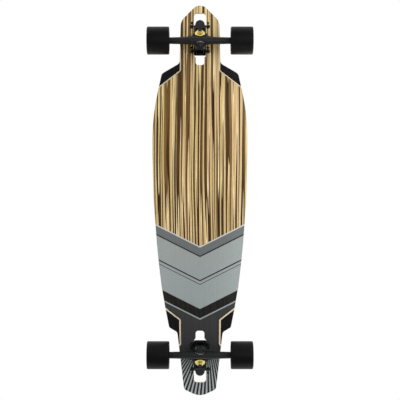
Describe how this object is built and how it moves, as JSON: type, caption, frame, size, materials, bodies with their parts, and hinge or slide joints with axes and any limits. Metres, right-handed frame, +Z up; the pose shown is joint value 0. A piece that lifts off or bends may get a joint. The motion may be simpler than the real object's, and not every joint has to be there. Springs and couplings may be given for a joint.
{
  "type": "drop-through longboard",
  "caption": "Drop-through longboard with a wooden deck cut out at both ends, reverse-kingpin trucks and wide black wheels.",
  "frame": {"origin": "on the floor under the middle of the board: centre of the bounding box's lower face", "axes": "+Y towards the nose, +Z up, +X to the right of a rider who faces the nose"},
  "size_m": [0.267, 1, 0.0981],
  "materials": {
    "veneer": "satin",
    "grip": "matte",
    "golden_wood": "satin",
    "black_casting": "satin",
    "urethane": "satin",
    "bushing_urethane": "satin",
    "cup_urethane": "satin",
    "brass": "gloss",
    "steel": "gloss",
    "black_steel": "satin"
  },
  "bodies": {
    "board": {"deck": "veneer", "grip_tape": "grip", "medallion": "golden_wood", "nose_baseplate": "black_casting", "nose_kingpin": "black_steel", "nose_kingpin_nut": "brass", "nose_washer_board": "brass", "nose_washer_road": "brass", "nose_bushing_board": "bushing_urethane", "nose_bushing_road": "bushing_urethane", "nose_pivot_cup": "cup_urethane", "nose_bolt_1": "steel", "nose_lock_nut_1": "black_steel", "nose_bolt_2": "steel", "nose_lock_nut_2": "black_steel", "nose_bolt_3": "steel", "nose_lock_nut_3": "black_steel", "nose_bolt_4": "steel", "nose_lock_nut_4": "black_steel", "tail_baseplate": "black_casting", "tail_kingpin": "black_steel", "tail_kingpin_nut": "brass", "tail_washer_board": "brass", "tail_washer_road": "brass", "tail_bushing_board": "bushing_urethane", "tail_bushing_road": "bushing_urethane", "tail_pivot_cup": "cup_urethane", "tail_bolt_1": "steel", "tail_lock_nut_1": "black_steel", "tail_bolt_2": "steel", "tail_lock_nut_2": "black_steel", "tail_bolt_3": "steel", "tail_lock_nut_3": "black_steel", "tail_bolt_4": "steel", "tail_lock_nut_4": "black_steel"},
    "nose_left_wheel_body": {"nose_left_wheel": "urethane", "nose_left_bearing_inner": "steel", "nose_left_bearing_outer": "steel"},
    "nose_right_wheel_body": {"nose_right_wheel": "urethane", "nose_right_bearing_inner": "steel", "nose_right_bearing_outer": "steel"},
    "nose_hanger_body": {"nose_hanger": "black_casting", "nose_axle": "steel", "nose_left_spacer": "steel", "nose_left_axle_nut": "steel", "nose_right_spacer": "steel", "nose_right_axle_nut": "steel"},
    "tail_left_wheel_body": {"tail_left_wheel": "urethane", "tail_left_bearing_inner": "steel", "tail_left_bearing_outer": "steel"},
    "tail_right_wheel_body": {"tail_right_wheel": "urethane", "tail_right_bearing_inner": "steel", "tail_right_bearing_outer": "steel"},
    "tail_hanger_body": {"tail_hanger": "black_casting", "tail_axle": "steel", "tail_left_spacer": "steel", "tail_left_axle_nut": "steel", "tail_right_spacer": "steel", "tail_right_axle_nut": "steel"}
  },
  "joints": [
    {"name": "nose_steer", "type": "hinge", "parent": "board", "child": "nose_hanger_body", "pos_m": [0, 0.39735, 0.0398], "axis": [0, 0.682, 0.7314], "range_deg": [-16, 16], "stiffness_Nm_per_rad": 45, "deforming": ["nose_bushing_board", "nose_bushing_road"]},
    {"name": "nose_left_spin", "type": "hinge", "parent": "nose_hanger_body", "child": "nose_left_wheel_body", "pos_m": [-0.1055, 0.4025, 0.035], "axis": [1, 0, 0], "continuous": true},
    {"name": "nose_right_spin", "type": "hinge", "parent": "nose_hanger_body", "child": "nose_right_wheel_body", "pos_m": [0.1055, 0.4025, 0.035], "axis": [1, 0, 0], "continuous": true},
    {"name": "tail_steer", "type": "hinge", "parent": "board", "child": "tail_hanger_body", "pos_m": [0, -0.38485, 0.0398], "axis": [0, -0.682, 0.7314], "range_deg": [-16, 16], "stiffness_Nm_per_rad": 45, "deforming": ["tail_bushing_board", "tail_bushing_road"]},
    {"name": "tail_left_spin", "type": "hinge", "parent": "tail_hanger_body", "child": "tail_left_wheel_body", "pos_m": [-0.1055, -0.39, 0.035], "axis": [1, 0, 0], "continuous": true},
    {"name": "tail_right_spin", "type": "hinge", "parent": "tail_hanger_body", "child": "tail_right_wheel_body", "pos_m": [0.1055, -0.39, 0.035], "axis": [1, 0, 0], "continuous": true}
  ]
}
